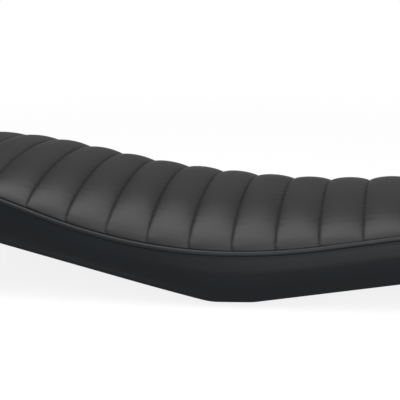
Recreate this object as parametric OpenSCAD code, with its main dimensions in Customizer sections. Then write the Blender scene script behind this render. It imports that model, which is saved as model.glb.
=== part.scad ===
// Cafe racer seat: a ribbed and piped cover over foam on a moulded pan.
// X points to the front, Y to the left side, Z up, and the buffers' feet stand at Z = 0.

/* [Plan] */
// Length over the piping, from tail to nose
seat_len = 600; // [590:5:660]
// Width between the centre lines of the piping over the rear half
seat_w = 254; // [250:2:290]
// Place along X where the sides start to draw in
taper_x = -85; // [-95:5:-40]
// Radius of the bend in each side there
taper_r = 1000; // [850:50:1400]
// Angle of each side to the centre line ahead of the bend, in degrees
taper_a = 7; // [5:0.5:7.5]
// Radius of the two tail corners in plan
tail_corner_r = 85; // [60:5:100]
// Radius of the two nose corners in plan
nose_corner_r = 45; // [35:5:50]

/* [Bottom line] */
// Height of the lowest edge above the feet of the buffers
foot_drop = 4; // [4:0.5:8]
// Place along X of the middle of the bottom flat
kink_x = 12; // [0:1:20]
// Length of the bottom flat
kink_flat = 26; // [16:1:40]
// Radius of the bends at both ends of the flat
kink_r = 60; // [40:5:90]
// Rise of the flat towards the nose, in degrees
kink_tilt_a = 1; // [0:0.5:2]
// Rise of the bottom line towards the tail, in degrees
tail_rise_a = 13; // [11:0.5:14]
// Rise of the bottom line towards the nose, in degrees
nose_rise_a = 8.5; // [7.5:0.5:9.5]

/* [Piping line] */
// Place along X of the lowest point of the piping
seam_x = 5; // [-5:1:15]
// Height of that point above the lowest edge
seam_h = 45; // [40:0.5:50]
// Radius of the piping line behind its lowest point
seam_tail_r = 520; // [460:10:580]
// Slope that it reaches towards the tail, in degrees
seam_tail_a = 18.5; // [16:0.5:19]
// Radius of the piping line ahead of its lowest point
seam_nose_r = 570; // [500:10:650]
// Slope that it reaches towards the nose, in degrees
seam_nose_a = 9; // [8:0.5:10]
// Outer diameter of the piping
pipe_d = 5; // [4:0.5:6]

/* [Crown line] */
// Place along X of the lowest point of the crown
crown_x = 80; // [65:1:95]
// Height of that point above the lowest edge
crown_h = 90; // [84:1:96]
// Radius of the crown line behind its lowest point
crown_tail_r = 1300; // [1150:50:1500]
// Slope that it reaches towards the tail, in degrees
crown_tail_a = 9.5; // [9:0.5:10.5]
// Radius of the crown line ahead of its lowest point
crown_nose_r = 750; // [650:50:900]
// Slope that it reaches towards the nose, in degrees
crown_nose_a = 7; // [5:0.5:8]
// Length over which the crown rolls down at the tail
tail_roll = 110; // [90:5:130]
// Length over which the crown rolls down at the nose
nose_roll = 60; // [50:5:80]

/* [Ribs] */
// Distance from groove to groove, along the piping
rib_pitch = 38; // [34:1:42]
// Distance from the piping's lowest point to the first groove ahead of it
rib_start = 4.5; // [2:0.5:12]
// Depth of the grooves at the centre line
groove_depth = 5; // [3:0.5:6.5]
// Depth of the grooves where they run into the piping
groove_bite = 0.6; // [0.4:0.1:0.9]
// Thickness of the quilted top panel on a rib
quilt_t = 9; // [8.5:0.5:11]
// Least length of the plain end ribs
end_rib_min = 22; // [20:1:28]

/* [Side panels] */
// Thickness of the covering
skin_t = 1.4; // [1:0.1:1.8]
// How far the side panels belly out past the piping's centre line
band_belly = 2; // [0:0.2:3]
// How far their lower edge is drawn in
tuck = 2; // [1:0.2:3]
// Radius at which the covering turns under the pan
turn_r = 2.4; // [2:0.2:3]
// How far the hem reaches in under the pan
hem_w = 22; // [18:1:24]

/* [Pan] */
// Thickness of the pan
pan_t = 4; // [3.5:0.5:5]
// Height of the stiffening ribs under the pan
web_h = 4; // [3:0.5:4.5]
// Thickness of the stiffening ribs
web_t = 3; // [2:0.5:4]
// Distance between the two long ribs
web_gap_y = 64; // [50:2:64]
// Diameter of the air holes
vent_d = 8; // [6:1:10]

/* [Mounting studs] */
// Thread diameter of the studs
stud_d = 8; // [6:1:8]
// Distance of the rear studs from the piping at the tail
stud_tail_gap = 47.5; // [47.5:0.5:60]
// Distance of the front studs from the piping at the nose
stud_nose_gap = 57.5; // [57.5:0.5:75]
// Distance of the studs from the piping at the widest part of the sides
stud_side_gap = 82; // [81:1:90]
// How far the front mounting pads stand out below the pan
pad_drop = 1.4; // [1:0.1:4]
// Length of the studs below the mounting faces
stud_reach = 25; // [20:1:28]
// Diameter of the stud heads
stud_head_d = 18; // [14:1:20]
// Thickness of the stud heads
stud_head_t = 2.5; // [2:0.5:3]
// Diameter of the mounting pads
pad_d = 28; // [24:1:30]
// Thickness of the two cross plates under the stud heads
plate_t = 2.5; // [2:0.5:3]
// How far the cross plates reach past the stud heads along X
plate_side = 5; // [3.5:0.5:5.5]
// How far the cross plates reach past the stud heads at both ends
plate_end = 4; // [3:0.5:5]
// Diameter of the plate rivets
rivet_d = 4; // [3:0.5:4]

/* [Buffers] */
// Distance between the buffers along X
buffer_gap_x = 100; // [90:5:120]
// Distance of the buffers from the piping at the widest part of the sides
buffer_side_gap = 65; // [60:1:70]
// Height of the buffers
buffer_h = 9; // [8:0.5:9]
// Diameter of a buffer at its foot
buffer_foot_d = 26; // [22:1:30]
// Diameter of a buffer at the pan
buffer_top_d = 30; // [26:1:34]
// Thread diameter of the buffer screws
screw_d = 5; // [4:0.5:6]

/* [Staples] */
// Distance from staple to staple along the piping
staple_pitch = 22; // [16:1:30]
// Length of a staple's crown
staple_len = 11; // [9:1:13]
// Width of the staple wire
staple_w = 1.3; // [1:0.1:1.6]
// Thickness of the staple wire
staple_t = 0.6; // [0.5:0.1:0.9]

/* [Hidden] */

// Clearances: between soft pieces, round shanks, and the overrun of cuts
fit_gap = 0.3;
hem_gap = 0.4;
seam_gap = 0.2;
shank_gap = 0.2;
overrun = 1;

// Powers of the crown's cross section, and how far the ribs lean with the piping's slope
crown_power = 2.05;
shoulder_power = 1.45;
rib_lean_share = 0.6;
roll_power = 2.2;
lobe_power = 2.2;

// Shares of a rib's length at which its rows lie, and of an end rib's length from its free end
rib_row_shares = [0, 0.07, 0.25, 0.5, 0.75, 0.93];
end_row_shares = [0, 0.03, 0.12, 0.27, 0.47, 0.7, 0.9];
plain_row_shares = [0, 1/3, 2/3];
// Half the number of faces across the top, and the number across each straight end for the sides
across_n = 7;
foam_across_n = 4;
end_n = 3;
pipe_sides = 8;

// Shares of the side panel's height, and of its belly there
band_drop_shares = [0.2, 0.42, 0.7];
band_belly_shares = [0.75, 1, 0.4];

half_len = (seat_len - pipe_d)/2;
half_w = seat_w/2;
pipe_r = pipe_d/2;
wrap_r = pipe_r + seam_gap;
tail_c = tail_corner_r - half_len;
nose_c = half_len - nose_corner_r;

// Height of an arc of radius r that runs on into a straight at angle a, at distance d from its foot
function ramp(d, r, a) =
    d <= 0 ? 0
    : d < r*sin(a) ? r - sqrt(r*r - d*d)
    : r*(1 - cos(a)) + (d - r*sin(a))*tan(a);
// Slope of the same line
function ramp_slope(d, r, a) = d <= 0 ? 0 : d < r*sin(a) ? d/sqrt(r*r - d*d) : tan(a);
// Distance along X of the point that lies s along the same line
function ramp_run(s, r, a) =
    s < r*a*PI/180 ? r*sin(s/r*180/PI) : r*sin(a) + (s - r*a*PI/180)*cos(a);

// Both ends of the flat, and how far the bottom line bends there
flat_tail_x = kink_x - kink_flat/2;
flat_nose_x = kink_x + kink_flat/2;
tail_bend_a = atan(tan(tail_rise_a) + tan(kink_tilt_a));
nose_bend_a = atan(tan(nose_rise_a) - tan(kink_tilt_a));
function bottom_z(x) = foot_drop + (x - flat_tail_x)*tan(kink_tilt_a)
    + ramp(x - flat_nose_x, kink_r, nose_bend_a) + ramp(flat_tail_x - x, kink_r, tail_bend_a);
function bottom_a(x) = atan(tan(kink_tilt_a)
    + ramp_slope(x - flat_nose_x, kink_r, nose_bend_a) - ramp_slope(flat_tail_x - x, kink_r, tail_bend_a));
function seam_z(x) = foot_drop + seam_h
    + ramp(x - seam_x, seam_nose_r, seam_nose_a) + ramp(seam_x - x, seam_tail_r, seam_tail_a);
function seam_slope(x) =
    ramp_slope(x - seam_x, seam_nose_r, seam_nose_a) - ramp_slope(seam_x - x, seam_tail_r, seam_tail_a);
function crown_z(x) = foot_drop + crown_h
    + ramp(x - crown_x, crown_nose_r, crown_nose_a) + ramp(crown_x - x, crown_tail_r, crown_tail_a);

// Outline of the piping in plan, set in by d: X and half width of the station x
function set_x(x, d) =
    x < tail_c ? tail_c + (x - tail_c)*(tail_corner_r - d)/tail_corner_r
    : x > nose_c ? nose_c + (x - nose_c)*(nose_corner_r - d)/nose_corner_r
    : x;
function corner(u) = 1 - sqrt(max(0, 1 - u*u));
function set_w(x, d) = half_w - d - ramp(set_x(x, d) - taper_x, taper_r, taper_a)
    - (tail_corner_r - d)*corner(max(0, (tail_c - x)/tail_corner_r))
    - (nose_corner_r - d)*corner(max(0, (x - nose_c)/nose_corner_r));

// Share of the crown's height that is left at the station x near the two ends
function end_roll(d, l) = d >= l ? 1 : sqrt(1 - pow(1 - max(0, d)/l, roll_power));
function roll_share(x) = end_roll(x + half_len, tail_roll)*end_roll(half_len - x, nose_roll);
// Share of the crown's height at the share t of the half width
function section_share(t) = pow(max(0, 1 - pow(abs(t), crown_power)), 1/shoulder_power);
// Point of the padded top at station x and share t, set in by d and sunk by s at the centre
function pillow(x, t, d, s) =
    let (
        px = set_x(x, d),
        z = seam_z(px),
        h = max(0, crown_z(px) - z - s)*roll_share(x)*section_share(t)
    )
    [px - rib_lean_share*seam_slope(px)*h, set_w(x, d)*t, z + h];

// Grooves: their X along the piping, counted from its lowest point
function groove_x(k) =
    let (s = rib_start + k*rib_pitch)
    seam_x + (s >= 0 ? ramp_run(s, seam_nose_r, seam_nose_a) : -ramp_run(-s, seam_tail_r, seam_tail_a));
groove_count_max = ceil(seat_len/rib_pitch);
grooves = [
    for (k = [-groove_count_max:groove_count_max])
        let (x = groove_x(k))
        if (abs(x) < half_len - end_rib_min) x
];
last = len(grooves) - 1;

// Height share of a rib at the share u of its length
function lobe(u) = sqrt(max(0, 1 - pow(abs(2*u - 1), lobe_power)));
// Rows of the top as [station, groove share]
top_rows = concat(
    [for (u = end_row_shares)
        [-half_len + u*(grooves[0] + half_len), 1 - lobe(min(0.5, 1 - u))]],
    [for (k = [0:last - 1], u = rib_row_shares)
        [grooves[k] + u*(grooves[k + 1] - grooves[k]), 1 - lobe(u)]],
    [[grooves[last], 1]],
    [for (i = [len(end_row_shares) - 1:-1:0])
        [half_len - end_row_shares[i]*(half_len - grooves[last]), 1 - lobe(min(0.5, 1 - end_row_shares[i]))]]
);
// Stations of the pieces that have no grooves
plain_rows = concat(
    [for (u = end_row_shares) -half_len + u*(grooves[0] + half_len)],
    [for (k = [0:last - 1], u = plain_row_shares) grooves[k] + u*(grooves[k + 1] - grooves[k])],
    [grooves[last]],
    [for (i = [len(end_row_shares) - 1:-1:0]) half_len - end_row_shares[i]*(half_len - grooves[last])]
);
plain_n = len(plain_rows);
// Shares of the half width of the points across the top, closer together at the shoulders
across_shares = [for (j = [-across_n:across_n]) sin(90*j/across_n)];
// Stations once round the outline as [x, t], from the middle of the tail over the left side
left_loop = concat(
    [for (j = [0:end_n - 1]) [-half_len, j/end_n]],
    [for (x = plain_rows) [x, 1]],
    [for (j = [end_n - 1:-1:0]) [half_len, j/end_n]]
);
function mirrored(loop) = [for (i = [len(loop) - 1:-1:0]) [loop[i][0], -loop[i][1]]];
full_loop = concat(
    left_loop,
    [for (i = [len(left_loop) - 2:-1:1]) [left_loop[i][0], -left_loop[i][1]]]
);

// Height of the side panel's outer line between the piping's underside and the pan's edge
function band_z(x, f) = (1 - f)*seam_z(x) + f*bottom_z(x);
function rim(x, t, d, z) = [set_x(x, d), set_w(x, d)*t, z];
function band_point(x, t, d, f, lift = 0) = rim(x, t, d, band_z(set_x(x, d), f) + lift);
// Cross section of a side panel: down its outside, under the pan, and up its inside
function band_ring(x, t) = concat(
    [for (a = [0, 45, 90]) band_point(x, t, wrap_r*cos(a), 0, -seam_gap/2 - wrap_r*sin(a))],
    [for (i = [0:len(band_drop_shares) - 1])
        band_point(x, t, -band_belly*band_belly_shares[i], band_drop_shares[i])],
    [
        band_point(x, t, tuck - turn_r/4, 1, turn_r),
        band_point(x, t, tuck + turn_r/4, 1, turn_r/4),
        band_point(x, t, tuck + turn_r, 1),
        band_point(x, t, tuck + hem_w, 1),
        band_point(x, t, tuck + hem_w, 1, skin_t),
        band_point(x, t, tuck + turn_r, 1, skin_t),
        band_point(x, t, tuck + skin_t, 1, turn_r)
    ],
    [for (i = [len(band_drop_shares) - 1:-1:0])
        band_point(x, t, skin_t - band_belly*band_belly_shares[i], band_drop_shares[i])],
    [
        band_point(x, t, skin_t, 0, -wrap_r - skin_t),
        band_point(x, t, wrap_r + skin_t, 0, -wrap_r),
        band_point(x, t, wrap_r + skin_t, 0, -seam_gap/2)
    ]
);

// Solid skinned over a row of rings that all have as many points. Its two end faces are closed
// by strips between the first and the last few points, and by one flat face beyond them.
module loft(rings, closed, strips = 0) {
    n = len(rings[0]);
    m = len(rings);
    last_ring = (m - 1)*n;
    spans = closed ? m - 1 : m - 2;
    walls = [
        for (i = [0:spans], j = [0:n - 1])
            let (
                a = i*n + j,
                b = i*n + (j + 1)%n,
                c = ((i + 1)%m)*n + (j + 1)%n,
                d = ((i + 1)%m)*n + j
            )
            each [[a, b, c], [a, c, d]]
    ];
    caps = closed ? [] : concat(
        [for (j = [0:strips - 1]) each [
            [j, n - 1 - j, n - 2 - j, j + 1],
            [last_ring + j, last_ring + j + 1, last_ring + n - 2 - j, last_ring + n - 1 - j]
        ]],
        [
            [for (j = [n - 1 - strips:-1:strips]) j],
            [for (j = [strips:n - 1 - strips]) last_ring + j]
        ]
    );
    polyhedron([for (r = rings, p = r) p], concat(walls, caps));
}

// Side profile of a layer that lies from height a to height b above the bottom line
kink_turn_n = 2;
profile_x = concat(
    [-half_len],
    [for (i = [kink_turn_n:-1:0]) flat_tail_x - kink_r*sin(tail_bend_a*i/kink_turn_n)],
    [for (i = [0:kink_turn_n]) flat_nose_x + kink_r*sin(nose_bend_a*i/kink_turn_n)],
    [half_len]
);
module layer(a, b) {
    outline = concat(
        [for (x = profile_x) [x, bottom_z(x) + a]],
        [for (i = [len(profile_x) - 1:-1:0]) [profile_x[i], bottom_z(profile_x[i]) + b]]
    );
    rotate([90, 0, 0])
        linear_extrude(seat_w, center = true)
            polygon(outline);
}
module plan(d) {
    polygon([for (p = full_loop) [set_x(p[0], d), set_w(p[0], d)*p[1]]]);
}

// Heights of the pan, of its level seats, and what stands on them
under_z = skin_t + hem_gap;
function pan_top(x) = bottom_z(x) + under_z + pan_t;
pan_in = tuck + turn_r;
module column(z) {
    translate([0, 0, z]) linear_extrude(seat_len/2) children();
}

stud_x = [stud_tail_gap - half_len, half_len - stud_nose_gap];
stud_y = [stud_side_gap - half_w, half_w - stud_side_gap];
buffer_x = [kink_x - buffer_gap_x/2, kink_x + buffer_gap_x/2];
buffer_y = [buffer_side_gap - half_w, half_w - buffer_side_gap];
plate_w = stud_head_d + 2*plate_side;
plate_len = stud_y[1] - stud_y[0] + stud_head_d + 2*plate_end;
tray_w = plate_w + 2*fit_gap;
tray_len = plate_len + 2*fit_gap;
// Floor of the level tray for a cross plate, so that the stud heads stay under the foam
function lowest_top(x, w) = min(pan_top(x - w/2), pan_top(x + w/2));
function tray_z(x) = lowest_top(x, tray_w) - plate_t - stud_head_t;
// Height of the four mounting faces, which all lie in one plane
mount_h = min(tray_z(stud_x[0]), tray_z(stud_x[1])) - pan_t - pad_drop;

tee_flange_d = 3.4*screw_d;
tee_flange_t = 0.3*screw_d;
tee_barrel_d = 1.3*screw_d;
tee_barrel_len = 0.6*screw_d;
tee_seat_d = tee_flange_d + 2*fit_gap;
function tee_z(x) = lowest_top(x, tee_seat_d) - tee_flange_t;
boss_d = buffer_top_d + web_t;
shank_bore_d = screw_d + 2*shank_gap;
stud_bore_d = stud_d + 2*shank_gap;
// The rolled thread is drawn at its outer diameter where it is free, and the neck above it
// and the bore of its nut at the mean diameter, where the two threads meet
thread_mean_share = 0.9;
neck_d = thread_mean_share*stud_d;

rivet_y_share = 0.57;
rivet_y = rivet_y_share*(stud_y[1] - pad_d/2);
rivet_head_d = 2*rivet_d;
rivet_head_t = rivet_d/4;
washer_t = 0.2*stud_d;
washer_d = 2*stud_d;
spring_t = 0.25*stud_d;
spring_d = 1.8*stud_d;
nut_t = 0.8*stud_d;
nut_flats = 1.625*stud_d;
nut_z = mount_h - washer_t - spring_t - nut_t;
screw_head_d = 1.9*screw_d;
screw_head_t = 0.6*screw_d;
socket_flats = 0.6*screw_d;
socket_depth = screw_head_t/2;
cup_d = 2.4*screw_d;
cup_depth = buffer_h/2;
cup_washer_t = 0.2*screw_d;
foot_round = buffer_h/8;
vent_x_shares = [-0.54, -0.26, 0, 0.26, 0.54];
cross_web_x_shares = [-0.66, -0.42, 0.42, 0.66];

module at_studs() {
    for (x = stud_x, y = stud_y)
        translate([x, y, 0]) children();
}

module cross_tray(x, grow) {
    translate([x - tray_w/2 - grow, -tray_len/2 - grow, tray_z(x) - (grow > 0 ? pan_t : 0)])
        cube([tray_w + 2*grow, tray_len + 2*grow, seat_len/4]);
}

// Stiffening ribs on the underside, drawn in plan
module webs() {
    web_len = seat_len - 2*(hem_w + tuck + tail_corner_r/2);
    for (s = [-1, 1])
        translate([0, s*web_gap_y/2]) square([web_len, web_t], center = true);
    for (f = cross_web_x_shares)
        translate([f*half_len, 0]) square([web_t, web_gap_y + web_t], center = true);
}

module pan_body() {
    intersection() {
        union() {
            intersection() {
                layer(under_z, under_z + pan_t);
                linear_extrude(seat_len/2) plan(pan_in);
            }
            intersection() {
                layer(under_z - web_h, under_z + pan_t/2);
                linear_extrude(seat_len/2) webs();
            }
            for (x = stud_x) cross_tray(x, pan_t);
            at_studs() column(mount_h) circle(d = pad_d, $fn = 48);
            for (x = buffer_x, y = buffer_y)
                translate([x, y, 0]) column(buffer_h) circle(d = boss_d, $fn = 48);
        }
        layer(-seat_len/4, under_z + pan_t);
    }
}

module seat_pan() {
    color([0.13, 0.13, 0.14])
        difference() {
            pan_body();
            for (x = stud_x) cross_tray(x, 0);
            at_studs() cylinder(d = stud_bore_d, h = seat_len/4, $fn = 48);
            for (x = stud_x, s = [-1, 1])
                translate([x, s*rivet_y, 0]) cylinder(d = rivet_d, h = seat_len/4, $fn = 32);
            for (x = buffer_x, y = buffer_y)
                translate([x, y, 0]) {
                    cylinder(d = buffer_top_d + 2*fit_gap, h = buffer_h, $fn = 48);
                    cylinder(d = shank_bore_d, h = seat_len/4, $fn = 32);
                    translate([0, 0, tee_z(x)]) cylinder(d = tee_seat_d, h = seat_len/4, $fn = 48);
                    translate([0, 0, tee_z(x) - tee_barrel_len - fit_gap])
                        cylinder(d = tee_barrel_d + 2*shank_gap, h = seat_len/4, $fn = 32);
                }
            for (f = vent_x_shares)
                translate([f*half_len, 0, 0]) cylinder(d = vent_d, h = seat_len/4, $fn = 32);
        }
}

// Cross section of the foam at a station, inside the panels and on the pan
foam_in = skin_t + fit_gap;
function foam_ring(x) =
    let (
        right = concat(
            [band_point(x, -1, tuck + foam_in, 1, under_z + pan_t + fit_gap)],
            [for (i = [len(band_drop_shares) - 1:-1:0])
                band_point(x, -1, foam_in - band_belly*band_belly_shares[i], band_drop_shares[i])],
            [band_point(x, -1, wrap_r + foam_in, 0, -wrap_r)]
        ),
        top = [for (j = [1 - foam_across_n:foam_across_n - 1])
            pillow(x, sin(90*j/foam_across_n), wrap_r + foam_in, quilt_t + fit_gap)],
        left = [for (i = [len(right) - 1:-1:0]) [right[i][0], -right[i][1], right[i][2]]]
    )
    concat(right, top, left);
module foam_core() {
    color([0.86, 0.80, 0.62])
        loft([for (x = plain_rows) foam_ring(x)], false, len(band_drop_shares) + 1);
}

// Quilted top: a ribbed outer face over a smooth inner face, joined round the seam
module top_panel() {
    n = 2*across_n + 1;
    m = len(top_rows);
    outer = [for (r = top_rows, t = across_shares)
        pillow(r[0], t, wrap_r + r[1]*groove_bite, r[1]*groove_depth) + [0, 0, seam_gap/2]];
    inner = [for (r = top_rows, t = across_shares)
        pillow(r[0], t, wrap_r + skin_t, quilt_t) + [0, 0, seam_gap/2]];
    sheet = [for (i = [0:m - 2], j = [0:n - 2]) [i*n + j, i*n + j + 1, (i + 1)*n + j + 1, (i + 1)*n + j]];
    border = concat(
        [for (i = [0:m - 2]) i*n],
        [for (j = [0:n - 2]) (m - 1)*n + j],
        [for (i = [m - 1:-1:1]) i*n + n - 1],
        [for (j = [n - 1:-1:1]) j]
    );
    faces = concat(
        [for (q = sheet) each [[q[0], q[2], q[1]], [q[0], q[3], q[2]]]],
        [for (q = sheet) each [[q[0], q[1], q[2]] + n*m*[1, 1, 1], [q[0], q[2], q[3]] + n*m*[1, 1, 1]]],
        [for (i = [0:len(border) - 1])
            let (a = border[i], b = border[(i + 1)%len(border)])
            each [[a, a + n*m, b + n*m], [a, b + n*m, b]]]
    );
    color([0.16, 0.16, 0.17])
        polyhedron(concat(outer, inner), faces);
}

// Strips from the outside to the inside of the thin section close both end faces, which aren't convex
module side_panel(loop) {
    rings = [for (p = loop) band_ring(p[0], p[1])];
    color([0.12, 0.12, 0.13])
        loft(rings, false, (len(rings[0]) - 3)/2);
}

module piping() {
    color([0.20, 0.20, 0.21])
        loft([
            for (p = full_loop)
                [for (i = [0:pipe_sides - 1])
                    let (a = (i + 0.5)*360/pipe_sides)
                    band_point(p[0], p[1], pipe_r*cos(a), 0, -pipe_r*sin(a))]
        ], true);
}

// Stations of the outline by the length run along the piping
loop_n = len(full_loop);
function loop_step(i) =
    let (a = full_loop[i%loop_n], b = full_loop[(i + 1)%loop_n])
    norm([set_x(b[0], 0) - set_x(a[0], 0), set_w(b[0], 0)*b[1] - set_w(a[0], 0)*a[1]]);
loop_run = [for (i = 0, run = 0; i <= loop_n; run = run + loop_step(i), i = i + 1) run];
x_by_run = [for (i = [0:loop_n]) [loop_run[i], full_loop[i%loop_n][0]]];
t_by_run = [for (i = [0:loop_n]) [loop_run[i], full_loop[i%loop_n][1]]];
staple_in = tuck + hem_w/2;
function staple_point(run) =
    let (x = lookup(run, x_by_run), t = lookup(run, t_by_run))
    [set_x(x, staple_in), set_w(x, staple_in)*t];

// Staple crowns flat on the hem, each with its length along the outline
module hem_staples() {
    count = floor(loop_run[loop_n]/staple_pitch);
    pitch = loop_run[loop_n]/count;
    color("silver")
        for (k = [0:count - 1]) {
            a = staple_point((k + 0.5)*pitch - staple_len/2);
            b = staple_point((k + 0.5)*pitch + staple_len/2);
            mid = (a + b)/2;
            translate([mid[0], mid[1], bottom_z(mid[0])])
                rotate([0, -bottom_a(mid[0]), 0])
                    rotate([0, 0, atan2(b[1] - a[1], b[0] - a[0])])
                        translate([-staple_len/2, -staple_w/2, -staple_t])
                            cube([staple_len, staple_w, staple_t]);
        }
}

module cross_plate(x) {
    color("slategray")
        difference() {
            translate([x - plate_w/2, -plate_len/2, tray_z(x)])
                cube([plate_w, plate_len, plate_t]);
            for (y = stud_y)
                translate([x, y, tray_z(x) - overrun])
                    cylinder(d = stud_bore_d, h = plate_t + 2*overrun, $fn = 48);
            for (s = [-1, 1])
                translate([x, s*rivet_y, tray_z(x) - overrun])
                    cylinder(d = rivet_d, h = plate_t + 2*overrun, $fn = 32);
        }
}

module plate_rivets() {
    color("lightgray")
        for (x = stud_x, s = [-1, 1])
            translate([x, s*rivet_y, tray_z(x)]) {
                translate([0, 0, -pan_t]) cylinder(d = rivet_d, h = pan_t + plate_t, $fn = 32);
                translate([0, 0, plate_t]) cylinder(d = rivet_head_d, h = rivet_head_t, $fn = 32);
                translate([0, 0, -pan_t - rivet_head_t])
                    cylinder(d = rivet_head_d, h = rivet_head_t, $fn = 32);
            }
}

module mounting_studs() {
    stud_chamfer = stud_d/8;
    stud_end = mount_h - stud_reach;
    color("silver")
        for (x = stud_x, y = stud_y)
            translate([x, y, 0])
                rotate_extrude($fn = 48)
                    polygon([
                        [0, stud_end], [stud_d/2 - stud_chamfer, stud_end],
                        [stud_d/2, stud_end + stud_chamfer], [stud_d/2, nut_z - stud_chamfer],
                        [neck_d/2, nut_z - stud_chamfer/2], [neck_d/2, tray_z(x) + plate_t],
                        [stud_head_d/2, tray_z(x) + plate_t],
                        [stud_head_d/2, tray_z(x) + plate_t + stud_head_t/2],
                        [stud_d/2, tray_z(x) + plate_t + stud_head_t],
                        [0, tray_z(x) + plate_t + stud_head_t]
                    ]);
}

module ring(d_out, d_in, t) {
    difference() {
        cylinder(d = d_out, h = t, $fn = 48);
        translate([0, 0, -overrun]) cylinder(d = d_in, h = t + 2*overrun, $fn = 48);
    }
}
module stud_washers() {
    color("silver")
        at_studs() translate([0, 0, mount_h - washer_t]) ring(washer_d, stud_bore_d, washer_t);
}
module stud_spring_washers() {
    spring_slit = spring_t/2;
    color("gray")
        at_studs() translate([0, 0, mount_h - washer_t - spring_t])
            difference() {
                ring(spring_d, stud_bore_d, spring_t);
                translate([0, -spring_slit/2, -overrun])
                    cube([spring_d, spring_slit, spring_t + 2*overrun]);
            }
}
module stud_nuts() {
    nut_corner_d = nut_flats/cos(30);
    color("silver")
        at_studs() translate([0, 0, nut_z])
            difference() {
                intersection() {
                    cylinder(d = nut_corner_d, h = nut_t, $fn = 6);
                    rotate_extrude($fn = 48)
                        polygon([
                            [0, 0], [nut_flats/2, 0], [nut_corner_d/2, (nut_corner_d - nut_flats)/3],
                            [nut_corner_d/2, nut_t - (nut_corner_d - nut_flats)/3],
                            [nut_flats/2, nut_t], [0, nut_t]
                        ]);
                }
                translate([0, 0, -overrun]) cylinder(d = neck_d, h = nut_t + 2*overrun, $fn = 48);
            }
}

// Rubber buffer with a rounded foot and a cup that hides its screw
module buffer(x, y) {
    foot_r = buffer_foot_d/2;
    color([0.10, 0.10, 0.10])
        translate([x, y, 0])
            rotate_extrude($fn = 64)
                polygon(concat(
                    [[cup_d/2, 0]],
                    [for (a = [0:30:90])
                        [foot_r - foot_round + foot_round*sin(a), foot_round - foot_round*cos(a)]],
                    [
                        [buffer_top_d/2, buffer_h], [shank_bore_d/2, buffer_h],
                        [shank_bore_d/2, cup_depth], [cup_d/2, cup_depth]
                    ]
                ));
}
module at_buffers(z) {
    for (x = buffer_x, y = buffer_y)
        translate([x, y, z]) children();
}
module buffer_washers() {
    color("silver")
        at_buffers(cup_depth - cup_washer_t)
            ring(cup_d - 2*shank_gap, shank_bore_d, cup_washer_t);
}
module buffer_screws() {
    head_z = cup_depth - cup_washer_t - screw_head_t;
    color("silver")
        for (x = buffer_x, y = buffer_y)
            translate([x, y, head_z])
                difference() {
                    union() {
                        cylinder(d = screw_head_d, h = screw_head_t, $fn = 32);
                        cylinder(d = screw_d, h = tee_z(x) + tee_flange_t/2 - head_z, $fn = 32);
                    }
                    translate([0, 0, -overrun])
                        cylinder(d = socket_flats/cos(30), h = overrun + socket_depth, $fn = 6);
                }
}
module buffer_tee_nuts() {
    color("goldenrod")
        for (x = buffer_x, y = buffer_y)
            translate([x, y, tee_z(x)])
                difference() {
                    union() {
                        cylinder(d = tee_flange_d, h = tee_flange_t, $fn = 48);
                        translate([0, 0, -tee_barrel_len])
                            cylinder(d = tee_barrel_d, h = tee_barrel_len + overrun/2, $fn = 32);
                    }
                    translate([0, 0, -tee_barrel_len - overrun])
                        cylinder(d = screw_d + shank_gap, h = tee_barrel_len + tee_flange_t + 2*overrun, $fn = 32);
                }
}

seat_pan();
foam_core();
top_panel();
side_panel(left_loop);  // side_panel_left
side_panel(mirrored(left_loop));  // side_panel_right
piping();
hem_staples();
cross_plate(stud_x[1]);  // cross_plate_front
cross_plate(stud_x[0]);  // cross_plate_rear
plate_rivets();
mounting_studs();
stud_washers();
stud_spring_washers();
stud_nuts();
buffer(buffer_x[1], buffer_y[1]);  // buffer_front_left
buffer(buffer_x[1], buffer_y[0]);  // buffer_front_right
buffer(buffer_x[0], buffer_y[1]);  // buffer_rear_left
buffer(buffer_x[0], buffer_y[0]);  // buffer_rear_right
buffer_washers();
buffer_screws();
buffer_tee_nuts();
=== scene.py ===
"""Looks of a cafe racer seat: ribbed cover, side panels, piping, sewing, fittings and a plain stage."""

import bpy
import numpy as np
from bpy.props import FloatProperty, FloatVectorProperty, IntProperty, PointerProperty
from mathutils import Euler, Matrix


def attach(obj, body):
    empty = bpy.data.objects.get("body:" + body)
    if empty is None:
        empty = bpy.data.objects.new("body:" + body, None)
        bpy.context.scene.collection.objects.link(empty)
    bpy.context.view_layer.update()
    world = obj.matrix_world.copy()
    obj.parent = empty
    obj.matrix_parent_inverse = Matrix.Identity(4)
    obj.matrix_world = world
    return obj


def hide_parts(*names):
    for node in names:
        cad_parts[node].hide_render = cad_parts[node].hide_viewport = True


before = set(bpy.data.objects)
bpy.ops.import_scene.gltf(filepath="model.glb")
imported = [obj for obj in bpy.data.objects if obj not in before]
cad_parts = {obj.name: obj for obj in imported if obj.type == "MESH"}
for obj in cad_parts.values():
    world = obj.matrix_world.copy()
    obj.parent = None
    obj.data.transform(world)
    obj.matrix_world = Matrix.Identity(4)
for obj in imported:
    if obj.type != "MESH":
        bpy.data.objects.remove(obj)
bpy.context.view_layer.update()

bl_info = {
    "name": "Cafe racer seat",
    "version": (1, 0, 0),
    "blender": (4, 5, 0),
    "location": "View3D > Sidebar > Seat",
    "description": "Ribbed cover, side panels, piping, sewing and fittings of a cafe racer seat",
    "category": "Object",
}

MM = 0.001
CROWN_POWER = 2.05
SHOULDER_POWER = 1.45
ROLL_POWER = 2.2
LOBE_POWER = 2.2
FLANK_POWER = 1.3
RIB_LEAN_SHARE = 0.6
SEAM_GAP = 0.2*MM
MOST_RIBS = 30
TINY = 1e-12


# Sizes and colours that a user may change

def length(label, text, millimetres):
    """A length property, given in millimetres and held in metres."""
    return FloatProperty(name=label, description=text, default=millimetres*MM, unit="LENGTH", precision=5)


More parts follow.
